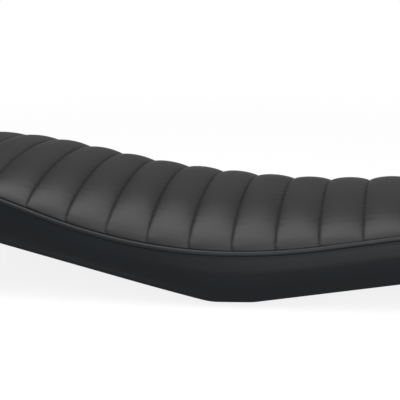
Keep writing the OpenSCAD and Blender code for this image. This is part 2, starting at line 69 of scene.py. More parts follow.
def angle(label, text, degrees):
    """An angle property, given in degrees and held in radians."""
    return FloatProperty(name=label, description=text, default=float(np.radians(degrees)), subtype="ANGLE")


def share(label, text, value, most=1.0):
    """A plain number from 0 up to a highest value."""
    return FloatProperty(name=label, description=text, default=value, min=0.0, max=most, precision=3)


def colour(label, text, value):
    """A linear colour."""
    return FloatVectorProperty(
        name=label, description=text, default=value, size=3, min=0.0, max=1.0, subtype="COLOR")


class SeatForm(bpy.types.PropertyGroup):
    """Driving sizes of the seat's outlines. They are those of the solid model, but for the height of
    the piping, which lies 0.9 mm lower in the photo."""

    seat_len: length("Length", "Length over the piping", 600)
    seat_w: length("Width", "Width between the centre lines of the piping", 254)
    taper_x: length("Taper start", "Place along X where the sides start to draw in", -85)
    taper_r: length("Taper bend", "Radius of the bend in each side there", 1000)
    taper_a: angle("Taper", "Angle of each side to the centre line ahead of the bend", 7)
    tail_corner_r: length("Tail corners", "Radius of the two tail corners in plan", 85)
    nose_corner_r: length("Nose corners", "Radius of the two nose corners in plan", 45)
    foot_drop: length("Foot drop", "Height of the lowest edge above the feet of the buffers", 4)
    kink_x: length("Flat place", "Place along X of the middle of the bottom flat", 12)
    kink_flat: length("Flat length", "Length of the bottom flat", 26)
    kink_r: length("Flat bends", "Radius of the bends at both ends of the flat", 60)
    kink_tilt_a: angle("Flat tilt", "Rise of the flat towards the nose", 1)
    tail_rise_a: angle("Tail rise", "Rise of the bottom line towards the tail", 13)
    nose_rise_a: angle("Nose rise", "Rise of the bottom line towards the nose", 8.5)
    seam_x: length("Piping low point", "Place along X of the lowest point of the piping", 5)
    seam_h: length("Piping height", "Height of that point above the lowest edge", 44.1)
    seam_tail_r: length("Piping tail bend", "Radius of the piping line behind its lowest point", 520)
    seam_tail_a: angle("Piping tail slope", "Slope that it reaches towards the tail", 18.5)
    seam_nose_r: length("Piping nose bend", "Radius of the piping line ahead of its lowest point", 570)
    seam_nose_a: angle("Piping nose slope", "Slope that it reaches towards the nose", 9)
    pipe_d: length("Piping", "Outer diameter of the piping", 5)
    crown_x: length("Crown low point", "Place along X of the lowest point of the crown", 80)
    crown_h: length("Crown height", "Height of that point above the lowest edge", 90)
    crown_tail_r: length("Crown tail bend", "Radius of the crown line behind its lowest point", 1300)
    crown_tail_a: angle("Crown tail slope", "Slope that it reaches towards the tail", 9.5)
    crown_nose_r: length("Crown nose bend", "Radius of the crown line ahead of its lowest point", 750)
    crown_nose_a: angle("Crown nose slope", "Slope that it reaches towards the nose", 7)
    tail_roll: length("Tail roll", "Length over which the crown rolls down at the tail", 110)
    nose_roll: length("Nose roll", "Length over which the crown rolls down at the nose", 60)
    rib_pitch: length("Rib pitch", "Distance from groove to groove along the piping", 38)
    rib_start: length("First groove", "Distance from the piping's low point to the groove ahead of it", 4.5)
    groove_depth: length("Groove depth", "Depth of the grooves at the centre line", 5)
    groove_bite: length("Groove bite", "Depth of the grooves where they run into the piping", 0.6)
    quilt_t: length("Quilting", "Thickness of the quilted top panel on a rib", 9)
    end_rib_min: length("End rib", "Least length of the plain end ribs", 22)
    skin_t: length("Covering", "Thickness of the covering", 1.4)
    band_belly: length("Belly", "How far the side panels belly out past the piping's centre line", 2)
    tuck: length("Tuck", "How far their lower edge is drawn in", 2)
    turn_r: length("Turn", "Radius at which the covering turns under the pan", 2.4)
    hem_w: length("Hem", "How far the hem reaches in under the pan", 22)


class SeatSewing(bpy.types.PropertyGroup):
    """Sizes of the stitched creases, the stuffing, the threads and the staples."""

    crease_depth: length("Crease", "Extra depth of the sharp crease that the thread pulls in", 0.2)
    crease_w: length("Crease width", "Half width of that crease", 0.6)
    stitch_pitch: length("Stitch", "Distance from needle hole to needle hole", 4.2)
    thread_d: length("Thread", "Diameter of the sewing thread", 0.5)
    pucker: length("Pucker", "Height of the small folds beside the stitches", 0.09)
    pucker_reach: length("Pucker reach", "How far those folds run out from the crease", 6)
    slack: length("Slack", "Height of the slow unevenness of the stuffing", 0.4)
    filled: share("Filled grooves", "How far the stuffing fills the grooves of the solid model", 0.28)
    pressure: share("Stuffing", "Pressure that swells the ribs between their seams", 14.0, 100)
    swell_most: length("Swelling", "The most that the pressure may move a point", 1.2)
    calm: length("Held border", "How far in the held border calms the folds", 12)
    valley: length("Seam valley", "How far the top panel is drawn in above the piping", 1.3)
    valley_at: length("Valley place", "Distance of that valley from the panel's edge", 0.7)
    valley_w: length("Valley width", "Half width of that valley", 1.0)
    wire_w: length("Staple wire", "Width of the staple wire", 1.3)
    wire_t: length("Staple thickness", "Thickness of the staple wire", 0.6)
    staple_len: length("Staple", "Length of a staple's crown", 11)
    staple_pitch: length("Staple pitch", "Distance from staple to staple along the piping", 22)
    seed: IntProperty(name="Seed", description="Seed of the uneven folds", default=7)


class SeatColours(bpy.types.PropertyGroup):
    """Linear colours of the finishes, and shine of the vinyl."""

    vinyl: colour("Top vinyl", "Black satin covering of the top panel", (0.010, 0.010, 0.0098))
    # Same vinyl as the top: this darker, bluer copy is painted shade with a painted bluish reflection for
    # the sides
    side_vinyl: colour("Side vinyl", "Black satin covering of sides and piping", (0.0050, 0.0066, 0.0082))
    thread: colour("Thread", "Black sewing thread", (0.026, 0.026, 0.026))
    foam: colour("Foam", "Moulded foam", (0.72, 0.62, 0.38))
    plastic: colour("Pan", "Moulded black plastic", (0.022, 0.022, 0.024))
    coating: colour("Coated steel", "Black coating of the cross plates", (0.028, 0.028, 0.030))
    zinc: colour("Zinc", "Bright zinc plating", (0.60, 0.61, 0.63))
    dark_zinc: colour("Dark zinc", "Dark zinc plating", (0.33, 0.33, 0.35))
    yellow_zinc: colour("Yellow zinc", "Yellow zinc plating", (0.66, 0.53, 0.26))
    aluminium: colour("Aluminium", "Plain rivets", (0.74, 0.75, 0.76))
    rubber: colour("Rubber", "Moulded black rubber", (0.016, 0.016, 0.016))
    floor: colour("Floor", "Pale floor", (0.30, 0.30, 0.30))
    top_shine: share("Top shine", "Specular level of the top panel", 0.24)
    piping_shine: share("Piping shine", "Specular level of the piping", 0.22)
    side_shine: share("Side shine", "Specular level of the side panels", 0.14)


class SeatStage(bpy.types.PropertyGroup):
    """Camera and light."""

    camera_place: FloatVectorProperty(
        name="Camera", description="Place of the camera", default=(0.16490, -1.02435, 0.27543),
        size=3, subtype="TRANSLATION", unit="LENGTH")
    camera_pitch: angle("Pitch", "How far the camera looks down", 11.10)
    camera_turn: angle("Turn", "How far the camera is turned to its left", 11.43)
    lens: FloatProperty(name="Lens", description="Focal length on a 36 mm sensor, in mm", default=97.73)
    overhead: share("Overhead", "Radiance of the large lamp over the seat", 6.3, 50)
    front: share("Front", "Radiance of the lamp high in front", 3.5, 50)
    low: share("Low", "Radiance of the lamp low in front", 10.0, 50)
    rear: share("Rear", "Radiance of the lamp behind the seat", 0.3, 50)
    sky: share("Sky", "Radiance of the room", 0.3, 10)


# Shapes as functions of whole arrays

def ramp(d, r, a):
    """Height, at distance d from its foot, of an arc of radius r that runs on into a straight at angle a."""
    d = np.maximum(d, 0)
    bend = r*np.sin(a)
    return r - np.sqrt(r*r - np.minimum(d, bend)**2) + np.maximum(d - bend, 0)*np.tan(a)


def ramp_slope(d, r, a):
    """Slope of the same line."""
    d = np.clip(d, 0, r*np.sin(a))
    return d/np.sqrt(r*r - d*d)


def ramp_run(s, r, a):
    """Distance along X of the point that lies s along the same line."""
    return r*np.sin(np.minimum(s/r, a)) + np.maximum(s - r*a, 0)*np.cos(a)


def corner(u):
    """What a quarter circle of radius 1 has lost of its height at the distance u past its start."""
    return 1 - np.sqrt(np.maximum(0, 1 - np.clip(u, 0, 1)**2))


def end_roll(d, l):
    """Share of the crown's height that is left at distance d from an end that rolls down over l."""
    return np.sqrt(1 - (1 - np.clip(d/l, 0, 1))**ROLL_POWER)


def section_share(t):
    """Share of the crown's height at the share t of the half width."""
    return np.maximum(0, 1 - np.abs(t)**CROWN_POWER)**(1/SHOULDER_POWER)


def lobe(u):
    """Height share of a rib at the share u of its length: a flattened half circle."""
    return np.sqrt(np.maximum(0, 1 - np.abs(2*u - 1)**LOBE_POWER))


CORNER_STATIONS = 28


class SeatLines:
    """The seat's plan, bottom line, piping line and crown line. X is a station along the seat,
    t a share of the half width there, and d a distance in from the line of the piping."""

    def __init__(self, form):
        self.form = form
        self.half_len = (form.seat_len - form.pipe_d)/2
        self.half_w = form.seat_w/2
        self.wrap_r = form.pipe_d/2 + SEAM_GAP
        self.tail_c = form.tail_corner_r - self.half_len
        self.nose_c = self.half_len - form.nose_corner_r
        steps = np.arange(-MOST_RIBS, MOST_RIBS + 1)*form.rib_pitch + form.rib_start
        ahead = ramp_run(np.maximum(steps, 0), form.seam_nose_r, form.seam_nose_a)
        behind = ramp_run(np.maximum(-steps, 0), form.seam_tail_r, form.seam_tail_a)
        places = form.seam_x + ahead - behind
        self.grooves = places[np.abs(places) < self.half_len - form.end_rib_min]

    def bottom_z(self, x):
        """Two straight rises on either side of a short flat, which tilts a little."""
        f = self.form
        tilt = np.tan(f.kink_tilt_a)
        nose_x, tail_x = f.kink_x + f.kink_flat/2, f.kink_x - f.kink_flat/2
        nose = ramp(x - nose_x, f.kink_r, np.arctan(np.tan(f.nose_rise_a) - tilt))
        tail = ramp(tail_x - x, f.kink_r, np.arctan(np.tan(f.tail_rise_a) + tilt))
        return f.foot_drop + (x - tail_x)*tilt + nose + tail

    def seam_z(self, x):
        """The piping line sags between two slopes."""
        f = self.form
        nose = ramp(x - f.seam_x, f.seam_nose_r, f.seam_nose_a)
        tail = ramp(f.seam_x - x, f.seam_tail_r, f.seam_tail_a)
        return f.foot_drop + f.seam_h + nose + tail

    def seam_slope(self, x):
        """Slope of the piping line."""
        f = self.form
        return (ramp_slope(x - f.seam_x, f.seam_nose_r, f.seam_nose_a)
                - ramp_slope(f.seam_x - x, f.seam_tail_r, f.seam_tail_a))

    def crown_z(self, x):
        """The crown line sags between two slopes."""
        f = self.form
        nose = ramp(x - f.crown_x, f.crown_nose_r, f.crown_nose_a)
        tail = ramp(f.crown_x - x, f.crown_tail_r, f.crown_tail_a)
        return f.foot_drop + f.crown_h + nose + tail

    def set_x(self, x, d):
        """X of the station x on the outline set in by d."""
        f = self.form
        tail = self.tail_c + (x - self.tail_c)*(f.tail_corner_r - d)/f.tail_corner_r
        nose = self.nose_c + (x - self.nose_c)*(f.nose_corner_r - d)/f.nose_corner_r
        return np.where(x < self.tail_c, tail, np.where(x > self.nose_c, nose, x))

    def set_w(self, x, d):
        """Half width of the same outline: straight, then drawn in, with a round corner at each end."""
        f = self.form
        taper = ramp(self.set_x(x, d) - f.taper_x, f.taper_r, f.taper_a)
        tail = (f.tail_corner_r - d)*corner((self.tail_c - x)/f.tail_corner_r)
        nose = (f.nose_corner_r - d)*corner((x - self.nose_c)/f.nose_corner_r)
        return self.half_w - d - taper - tail - nose

    def pillow(self, x, t, d, sink):
        """The padded top: the crown's height above the piping, rolled off at both ends and over the
        shoulders, leaning back with the piping's slope."""
        px = self.set_x(x, d)
        z = self.seam_z(px)
        tail, nose = self.form.tail_roll, self.form.nose_roll
        roll = end_roll(x + self.half_len, tail)*end_roll(self.half_len - x, nose)
        h = np.maximum(0, self.crown_z(px) - z - sink)*roll*section_share(t)
        return np.stack([px - RIB_LEAN_SHARE*self.seam_slope(px)*h, self.set_w(x, d)*t, z + h], -1)

    def band(self, x, t, d, f, lift=0):
        """Point of a side panel at the share f of its height below the piping."""
        px = self.set_x(x, d)
        z = (1 - f)*self.seam_z(px) + f*self.bottom_z(px) + lift
        return np.stack(np.broadcast_arrays(px, self.set_w(x, d)*t, z), -1)

    def rib_rows(self, per_rib):
        """Stations of rows that stand close together at the grooves, with the share u of the rib
        that each lies at, counted so that a plain end rib falls only at its groove."""
        edges = np.concatenate([[-self.half_len], self.grooves, [self.half_len]])
        v = (1 - np.cos(np.pi*np.arange(per_rib)/per_rib))/2
        x = np.append((edges[:-1, None] + np.diff(edges)[:, None]*v).ravel(), self.half_len)
        u = np.append(np.tile(v, len(edges) - 1), 1)
        u[:per_rib] = np.maximum(0.5, u[:per_rib])
        u[-per_rib - 1:] = np.minimum(0.5, u[-per_rib - 1:])
        return x, u

    def side_stations(self, spacing):
        """Stations and width shares once along the left side, from the middle of the tail to the
        middle of the nose: half of each straight end, the corner arcs by angle, and the side."""
        f = self.form
        arc = np.linspace(0, np.pi/2, CORNER_STATIONS)
        tail = self.tail_c - f.tail_corner_r*np.cos(arc)
        nose = self.nose_c + f.nose_corner_r*np.sin(arc)
        side = np.linspace(self.tail_c, self.nose_c, int((self.nose_c - self.tail_c)/spacing))[1:-1]
        tail_n = int(self.set_w(-self.half_len, 0)/spacing)
        nose_n = int(self.set_w(self.half_len, 0)/spacing)
        ends = np.full(tail_n, -self.half_len), np.full(nose_n, self.half_len)
        x = np.concatenate([ends[0], tail, side, nose, ends[1]])
        t = np.concatenate([
            np.arange(tail_n)/tail_n, np.ones(len(tail) + len(side) + len(nose)),
            np.arange(nose_n - 1, -1, -1)/nose_n])
        return x, t


def smoothed(points, steps):
    """Points along the second axis, with a Catmull-Rom curve through them in so many steps a span."""
    ends = np.concatenate([2*points[:, :1] - points[:, 1:2], points, 2*points[:, -1:] - points[:, -2:-1]], 1)
    u = (np.arange(steps)/steps)[None, None, :, None]
    a, b, c, d = (ends[:, k:k + points.shape[1] - 1, None] for k in range(4))
    curve = 0.5*(2*b + (c - a)*u + (2*a - 5*b + 4*c - d)*u**2 + (3*b - a - 3*c + d)*u**3)
    return np.concatenate([curve.reshape(len(points), -1, 3), points[:, -1:]], 1)


def grid_normals(grid):
    """Unit normals of a grid of points, the cross product of its two directions."""
    normals = np.cross(np.gradient(grid, axis=0), np.gradient(grid, axis=1))
    return normals/np.maximum(np.linalg.norm(normals, axis=-1, keepdims=True), TINY)


def unit(vectors):
    """Rows of vectors with the length 1."""
    return vectors/np.linalg.norm(vectors, axis=1, keepdims=True)


def arc_length(points):
    """Running length along a polyline."""
    steps = np.linalg.norm(np.diff(points, axis=0), axis=1)
    return np.concatenate([[0], np.cumsum(steps)])


def running_length(grid, axis):
    """Running length along the rows or columns of a grid of points."""
    steps = np.linalg.norm(np.diff(grid, axis=axis), axis=-1)
    return np.concatenate([np.zeros_like(np.take(steps, [0], axis)), np.cumsum(steps, axis)], axis)


def resampled(points, pitch):
    """Points at even distances of about the pitch along a polyline, with the tangents there."""
    run = arc_length(points)
    count = int(run[-1]/pitch)
    at = (np.arange(count) + 0.5)*run[-1]/count

    def along(s):
        return np.stack([np.interp(s, run, points[:, k]) for k in range(3)], -1)
    tangents = along(at + pitch/4) - along(at - pitch/4)
    return along(at), unit(tangents)


def waves(rng, a, b, shortest, longest, count=6):
    """Smooth unevenness from -1 to 1 over two coordinates: a few sine waves in random directions."""
    total = 0
    for _ in range(count):
        heading = rng.uniform(0, np.pi)
        wavelength = rng.uniform(shortest, longest)
        phase = rng.uniform(0, 2*np.pi)
        total = total + np.sin(2*np.pi*(a*np.cos(heading) + b*np.sin(heading))/wavelength + phase)
    return total/count


# Meshes

def grid_quads(rows, cols, wrap_rows=False, wrap_cols=False):
    """Corner indices of the quads of a grid of points, wound so that rows x columns points out."""
    i = np.arange(rows if wrap_rows else rows - 1)[:, None]
    j = np.arange(cols if wrap_cols else cols - 1)[None, :]
    a, b = i*cols + j, i*cols + (j + 1) % cols
    c, d = ((i + 1) % rows)*cols + (j + 1) % cols, ((i + 1) % rows)*cols + j
    return np.stack([a, d, c, b], -1).reshape(-1, 4)


def new_piece(name, points, quads, caps=(), replaces=()):
    """A smooth-shaded mesh of quads and a few larger caps, which rides on the seat's one body."""
    mesh = bpy.data.meshes.new(name)
    mesh.from_pydata(np.reshape(points, (-1, 3)).tolist(), [], quads.tolist() + [list(c) for c in caps])
    mesh.validate()
    mesh.polygons.foreach_set("use_smooth", np.ones(len(mesh.polygons), bool))
    piece = bpy.data.objects.new(name, mesh)
    bpy.context.scene.collection.objects.link(piece)
    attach(piece, "root")
    if replaces:
        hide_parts(*replaces)
    return piece


def paint(piece, material):
    """Gives the piece this one material."""
    piece.data.materials.clear()
    piece.data.materials.append(material)


def point_values(piece, name, values):
    """Stores one number for each point, for the material to read."""
    layer = piece.data.attributes.new(name, "FLOAT", "POINT")
    layer.data.foreach_set("value", np.ravel(values).astype(np.float32))


def crossbars(centres, along, across, up, half_l, outline, dips):
    """Short bars, one at each centre: an outline carried along from end to end, dipping at both
    ends. The shape is a grid of stations along the bar by corners round it, for all bars at once."""
    s = np.linspace(-half_l, half_l, len(dips))[None, :, None]
    spine = centres[:, None] + along[:, None]*s - up[:, None]*np.array(dips)[None, :, None]
    ring = outline[:, 0, None]*across[:, None, None] + outline[:, 1, None]*up[:, None, None]
    points = spine[:, :, None] + ring
    n, m, k = points.shape[:3]
    one = grid_quads(m, k, wrap_cols=True)
    starts = (np.arange(n)*m*k)[:, None, None]
    quads = (one[None] + starts).reshape(-1, 4)
    first = np.arange(k)
    last = np.arange(k)[::-1] + (m - 1)*k
    caps = np.concatenate([first + starts[:, 0], last + starts[:, 0]])
    return points, quads, caps


# Materials

class Value:
    """One output of a shader tree. A sum, difference or product with it adds a Math node."""

    def __init__(self, shade, socket):
        self.shade = shade
        self.socket = socket

    def math(self, operation, *terms):
        """Adds a Math node with these terms."""
        return self.shade.node("ShaderNodeMath", {"operation": operation}, dict(enumerate(terms)))

    def __add__(self, other):
        return self.math("ADD", self, other)

    def __rsub__(self, other):
        return self.math("SUBTRACT", other, self)

    def __mul__(self, other):
        return self.math("MULTIPLY", self, other)

    __radd__ = __add__
    __rmul__ = __mul__

    def clipped(self, low=0.0, high=1.0):
        """The value held between two limits."""
        return self.math("MINIMUM", self.math("MAXIMUM", self, low), high)


class Shade:
    """A material's or world's node tree."""

    def __init__(self, owner):
        owner.use_nodes = True
        self.tree = owner.node_tree
        self.tree.nodes.clear()

    def node(self, kind, settings=None, sockets=None, out=0):
        """Adds a node: its settings first, then the values or links of its sockets."""
        node = self.tree.nodes.new(kind)
        for name, value in (settings or {}).items():
            setattr(node, name, value)
        for name, value in (sockets or {}).items():
            socket = node.inputs[name]
            if isinstance(value, Value):
                self.tree.links.new(value.socket, socket)
            elif hasattr(value, "__len__") and len(value) == 3 and len(socket.default_value) == 4:
                socket.default_value = (*value, 1.0)
            else:
                socket.default_value = value
        return Value(self, node.outputs[out]) if node.outputs else node

    def mixed(self, share_of_b, a, b):
        """A colour between two colours."""
        return self.node("ShaderNodeMix", {"data_type": "RGBA"}, {0: share_of_b, 6: a, 7: b}, out=2)

    def place(self):
        """The point's own coordinates in metres."""
        return self.node("ShaderNodeTexCoord", out="Object")

    def noise(self, scale, detail=2.0, roughness=0.5):
        """Cloudy noise from about 0.3 to 0.7, with so many blobs a metre."""
        return self.node("ShaderNodeTexNoise", None,
                         {"Vector": self.place(), "Scale": scale, "Detail": detail, "Roughness": roughness})

    def cells(self, scale, feature="F1"):
        """Distance from the cells of a Voronoi pattern, with so many cells a metre."""
        sockets = {"Vector": self.place(), "Scale": scale}
        return self.node("ShaderNodeTexVoronoi", {"feature": feature}, sockets)

    def attribute(self, name):
        """A number stored on the mesh's points."""
        return self.node("ShaderNodeAttribute", {"attribute_name": name}, out="Fac")

    def bumped(self, height, depth, strength=1.0, normal=None):
        """A normal raised by a height from 0 to 1 that stands for a depth in metres."""
        sockets = {"Height": height, "Distance": depth, "Strength": strength}
        if normal:
            sockets["Normal"] = normal
        return self.node("ShaderNodeBump", None, sockets)

    def finish(self, **sockets):
        """Ends the tree in a Principled surface with these sockets."""
        named = {name.replace("_", " ").title().replace("Ior", "IOR"): value
                 for name, value in sockets.items()}
        surface = self.node("ShaderNodeBsdfPrincipled", None, named)
        self.node("ShaderNodeOutputMaterial", None, {"Surface": surface})


NEEDLE_SHARE = 0.4
CREASE_DULL = 0.12
# Share by which the colour in the creases and needle holes is darkened as painted shade
CREASE_PAINTED_SHADE = 0.15


def vinyl(name, base, shine, stitch_pitch=0.0):
    """Satin black covering: pebbled grain over a fine haze of pores, with a slow change of gloss.
    Where the mesh carries creases, it is duller in them, with a needle hole at each stitch, and
    its colour is darkened there as painted shade."""
    material = bpy.data.materials.new(name)
    shade = Shade(material)
    pebbles = shade.cells(1100, "DISTANCE_TO_EDGE")
    haze = shade.noise(3200, 3)
    cloud = shade.noise(14, 3)
    height = pebbles.clipped(0, 0.35)*1.6 + haze*0.25
    normal = shade.bumped(height, 0.06*MM, 0.5)
    rough = 0.36 + cloud*0.10 + haze*0.04
    tone = cloud*0.5 + haze*0.3
    skin = shade.mixed(tone.clipped(), tuple(c*0.75 for c in base), tuple(c*1.25 for c in base))
    if stitch_pitch:
        crease = shade.attribute("crease")
        wave = shade.attribute("run")*(2*np.pi/stitch_pitch)
        hole = crease*(1 - NEEDLE_SHARE + NEEDLE_SHARE*wave.math("COSINE", wave)).clipped()
        rough = (rough + hole*CREASE_DULL).clipped()
        # Painted shade: the colour is darkened in the creases, the valley above the piping and the needle
        # holes
        skin = shade.mixed((hole*CREASE_PAINTED_SHADE).clipped(), skin, tuple(c*0.3 for c in base))
        normal = shade.bumped(1 - hole, 0.2*MM, 0.4, normal)
    shade.finish(base_color=skin, roughness=rough, specular_ior_level=shine, normal=normal)
    return material


def spun_thread(name, base):
    """Twisted black thread with a dull sheen."""
    material = bpy.data.materials.new(name)
    shade = Shade(material)
    fibre = shade.noise(2600, 4, 0.7)
    shade.finish(
        base_color=shade.mixed(fibre, tuple(c*0.6 for c in base), tuple(c*1.6 for c in base)),
        roughness=0.55 + fibre*0.2,
        specular_ior_level=0.3,
        normal=shade.bumped(fibre, 0.08*MM))
    return material


def moulded_plastic(name, base):
    """Moulded pan with a fine spark-eroded texture and faint flow marks."""
    material = bpy.data.materials.new(name)
    shade = Shade(material)
    texture = shade.noise(1500, 3, 0.6)
    flow = shade.noise(9, 2)
    shade.finish(
        base_color=shade.mixed(flow, base, tuple(c*1.5 for c in base)),
        roughness=0.48 + texture*0.14 + flow*0.06,
        normal=shade.bumped(texture, 0.08*MM, 0.7))
    return material


def moulded_rubber(name, base):
    """Matt black rubber with a dusty bloom."""
    material = bpy.data.materials.new(name)
    shade = Shade(material)
    bloom = shade.noise(260, 4, 0.6)
    shade.finish(
        base_color=shade.mixed(bloom, base, tuple(c*2.0 for c in base)),
        roughness=0.72 + bloom*0.16,
        specular_ior_level=0.35,
        normal=shade.bumped(shade.noise(1900, 2), 0.05*MM))
    return material


def open_foam(name, base):
    """Yellowish foam with open cells, whose pits are darkened as painted shade."""
    material = bpy.data.materials.new(name)
    shade = Shade(material)
    pores = shade.cells(900)
    # Painted shade: the colour is darker in the pits of the cells, where the bump sinks
    shade.finish(
        base_color=shade.mixed(pores, tuple(c*0.7 for c in base), base),
        roughness=0.95,
        normal=shade.bumped(pores, 0.4*MM))
    return material


def plated(name, base, roughness=0.32):
    """Plated or bare metal: fine scratches in all directions over a cloudy film."""
    material = bpy.data.materials.new(name)
    shade = Shade(material)
    film = shade.noise(120, 4, 0.6)
    scratches = shade.noise(2400, 2)
    shade.finish(
        base_color=shade.mixed(film, tuple(c*0.82 for c in base), base),
        metallic=1.0,
        roughness=roughness + film*0.12 + scratches*0.06,
        normal=shade.bumped(scratches, 0.01*MM, 0.6))
    return material


def coated_steel(name, base):
    """Black coated steel with a slight orange peel."""
    material = bpy.data.materials.new(name)
    shade = Shade(material)
    peel = shade.noise(420, 2)
    shade.finish(
        base_color=shade.mixed(peel, base, tuple(c*1.4 for c in base)),
        roughness=0.34 + peel*0.12,
        normal=shade.bumped(peel, 0.05*MM, 0.5))
    return material


# Pieces

# Rows and columns of the ribbed top are FINER times those of the Cloth grid
FINER = 3
PER_RIB = 8*FINER
COLUMNS = 56*FINER
INNER_COLUMNS = 8
SWELL_FRAMES = 20
SWELL_STIFFNESS = 5
SWELL_SHEAR = 2
CREASE_START = 1*MM
CREASE_FADE = 3*MM
VALLEY_FADE = 1*MM
# Share of the seam valley in the crease weight, which dulls the vinyl there and darkens it as painted shade
VALLEY_DULL_AND_SHADE = 0.6
STITCHES_PER_FOLD = 2.3
FOLD_DRIFT = 4
FOLD_WAVES = (30*MM, 90*MM)
SLACK_WAVES = (50*MM, 160*MM)
PUCKER_FALL = 2.2


def ribbed_pillow(lines, sewing, per_rib, columns):
    """Stations, rib shares and points of the quilted top before it is sewn and stuffed. Rows are
    stations and columns shares of the half width, as sines of even angles. The pillow is sunk
    between the ribs, whose section is a flattened half circle with softened flanks."""
    form = lines.form
    x, u = lines.rib_rows(per_rib)
    t = np.sin(np.linspace(-np.pi/2, np.pi/2, columns + 1))
    q = 1 - lobe(u)**FLANK_POWER
    sunk = q[:, None]*form.groove_depth*(1 - sewing.filled)
    bite = lines.wrap_r + q[:, None]*form.groove_bite
    grid = lines.pillow(x[:, None], t[None, :], bite, sunk)
    grid[..., 2] += SEAM_GAP/2
    return x, u, grid


def swelling(scene, lines, sewing):
    """How far the stuffing moves each point of the ribbed top. A coarse grid of it, pinned at its
    grooves and borders, is swollen by Cloth with pressure and no gravity for a few frames. The
    moves are held under a limit, and a Catmull-Rom curve carries them both ways to the fine grid."""
    per_rib = PER_RIB//FINER
    grid = ribbed_pillow(lines, sewing, per_rib, COLUMNS//FINER)[2]
    held = np.zeros(grid.shape[:2], bool)
    held[::per_rib] = True
    held[:, [0, -1]] = True
    mesh = bpy.data.meshes.new("stuffing")
    mesh.from_pydata(grid.reshape(-1, 3).tolist(), [], grid_quads(*held.shape).tolist())
    cover = bpy.data.objects.new("stuffing", mesh)
    scene.collection.objects.link(cover)
    cover.vertex_groups.new(name="held").add(np.flatnonzero(held).tolist(), 1.0, "REPLACE")
    cloth = cover.modifiers.new("stuffing", "CLOTH")
    cloth.point_cache.frame_end = SWELL_FRAMES
    settings = cloth.settings
    settings.vertex_group_mass = "held"
    settings.use_pressure = True
    settings.uniform_pressure_force = sewing.pressure
    settings.effector_weights.gravity = 0
    for kind in ("tension", "compression", "bending"):
        setattr(settings, f"{kind}_stiffness", SWELL_STIFFNESS)
    settings.shear_stiffness = SWELL_SHEAR
    for moment in range(1, SWELL_FRAMES + 1):
        scene.frame_set(moment)
    swollen = cover.evaluated_get(bpy.context.evaluated_depsgraph_get())
    points = np.empty(grid.size, np.float32)
    swollen.data.vertices.foreach_get("co", points)
    bpy.data.objects.remove(cover)
    bpy.data.meshes.remove(mesh)
    scene.frame_set(1)
    moves = points.reshape(grid.shape) - grid
    far = np.maximum(np.linalg.norm(moves, axis=-1, keepdims=True), TINY)
    moves = moves*np.minimum(1, sewing.swell_most/far)
    return smoothed(smoothed(moves, FINER).transpose(1, 0, 2), FINER).transpose(1, 0, 2)


def ribbed_surface(lines, sewing, swell=0):
    """Outer face of the quilted top as a grid of points, how deep each lies in a crease or the seam
    valley, which the material dulls and darkens as painted shade, and its run across the seat.

    On the swollen pillow, along the normal, come the crease, a narrow bell of the distance to the
    groove, the puckers, waves that die away from the crease, a slow unevenness, and the valley
    above the piping, a bell of the distance to the panel's edge. The edge itself, where the panel
    is held, stays in place."""
    x, u, grid = ribbed_pillow(lines, sewing, PER_RIB, COLUMNS)
    grid = grid + swell
    rng = np.random.default_rng(sewing.seed)
    nearest = np.abs(x[:, None] - lines.grooves[None, :]).argmin(1)
    gap = x - lines.grooves[nearest]
    across, ahead = running_length(grid, 1), running_length(grid, 0)
    edge = np.minimum.reduce([across, across[:, -1:] - across, ahead, ahead[-1:] - ahead])
    held = np.clip(edge/sewing.calm, 0, 1)
    bell = np.exp(-(gap/sewing.crease_w)**2)[:, None]*np.clip((edge - CREASE_START)/CREASE_FADE, 0, 1)
    phase = rng.uniform(0, 2*np.pi, (len(lines.grooves), 2))[nearest, (gap > 0).astype(int)][:, None]
    turn = 2*np.pi*across/(STITCHES_PER_FOLD*sewing.stitch_pitch)
    fold = np.sin(turn + phase + FOLD_DRIFT*waves(rng, across, across, *FOLD_WAVES))
    away = PUCKER_FALL*np.abs(gap)[:, None]/sewing.pucker_reach
    puckers = sewing.pucker*fold*away*np.exp(1 - away)
    slack = sewing.slack*waves(rng, grid[..., 0], grid[..., 1], *SLACK_WAVES)*lobe(u)[:, None]
    valley = np.exp(-((edge - sewing.valley_at)/sewing.valley_w)**2)*np.clip(edge/VALLEY_FADE, 0, 1)
    rise = (puckers + slack)*held - bell*sewing.crease_depth - valley*sewing.valley
    # The crease weight carries the valley too, and the material darkens both as painted shade
    return grid + grid_normals(grid)*rise[..., None], np.maximum(bell, VALLEY_DULL_AND_SHADE*valley), across


